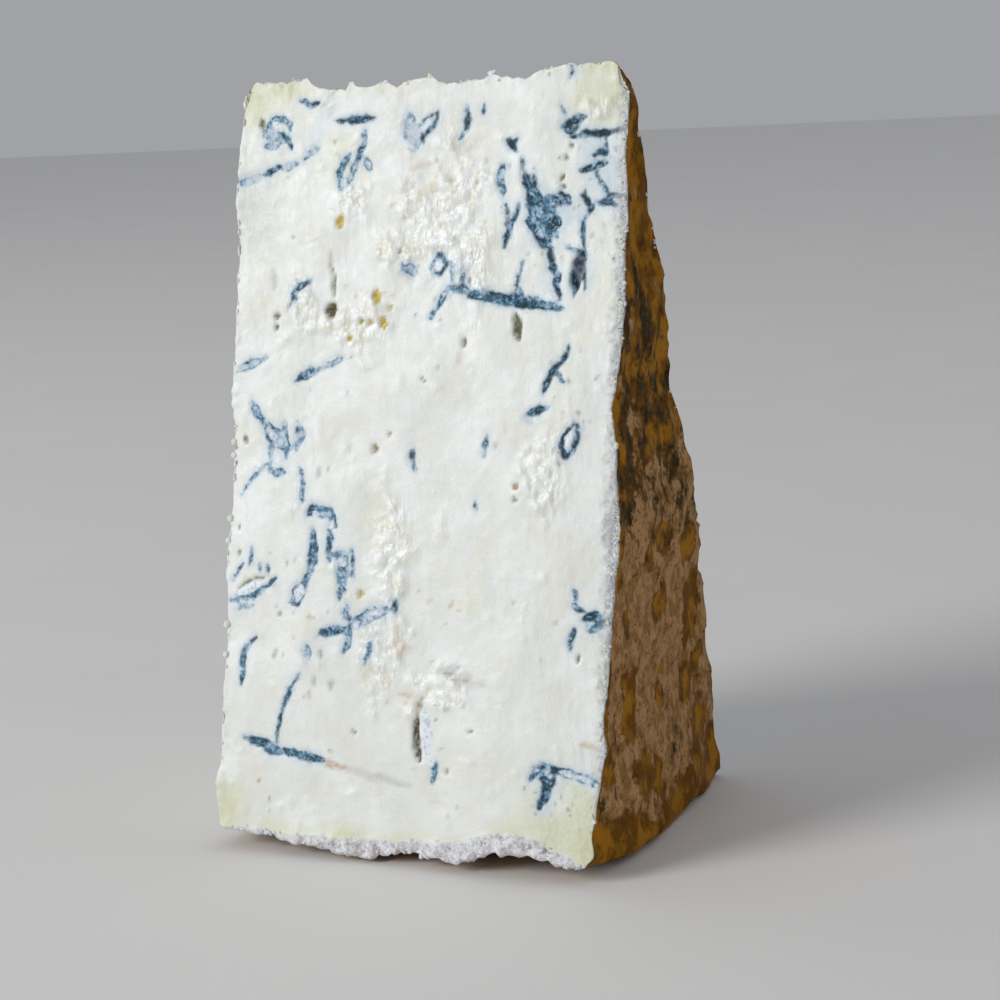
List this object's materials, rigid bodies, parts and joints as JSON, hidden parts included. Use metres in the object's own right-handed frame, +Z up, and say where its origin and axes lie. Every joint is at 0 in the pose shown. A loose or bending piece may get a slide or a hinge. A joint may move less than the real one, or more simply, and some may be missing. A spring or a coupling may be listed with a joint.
{
  "type": "blue cheese wedge",
  "caption": "Tall wedge of blue cheese stood on its curved rind heel, with a veined cut face and a mottled brown rind side.",
  "frame": {"origin": "middle of the slice's box, on the surface that it stands on", "axes": "+Z up, along the slice's length from its heel to its point edge; the veined front cut looks towards -Y; the rinded flat face of the wheel looks towards +X"},
  "size_m": [0.0868, 0.07, 0.1517],
  "materials": {
    "cheese": "moist ivory paste with blue-green mould veins, and a dry pinkish brown rind with golden patches"
  },
  "bodies": {
    "root": {"cheese_wedge": "cheese"}
  },
  "joints": []
}
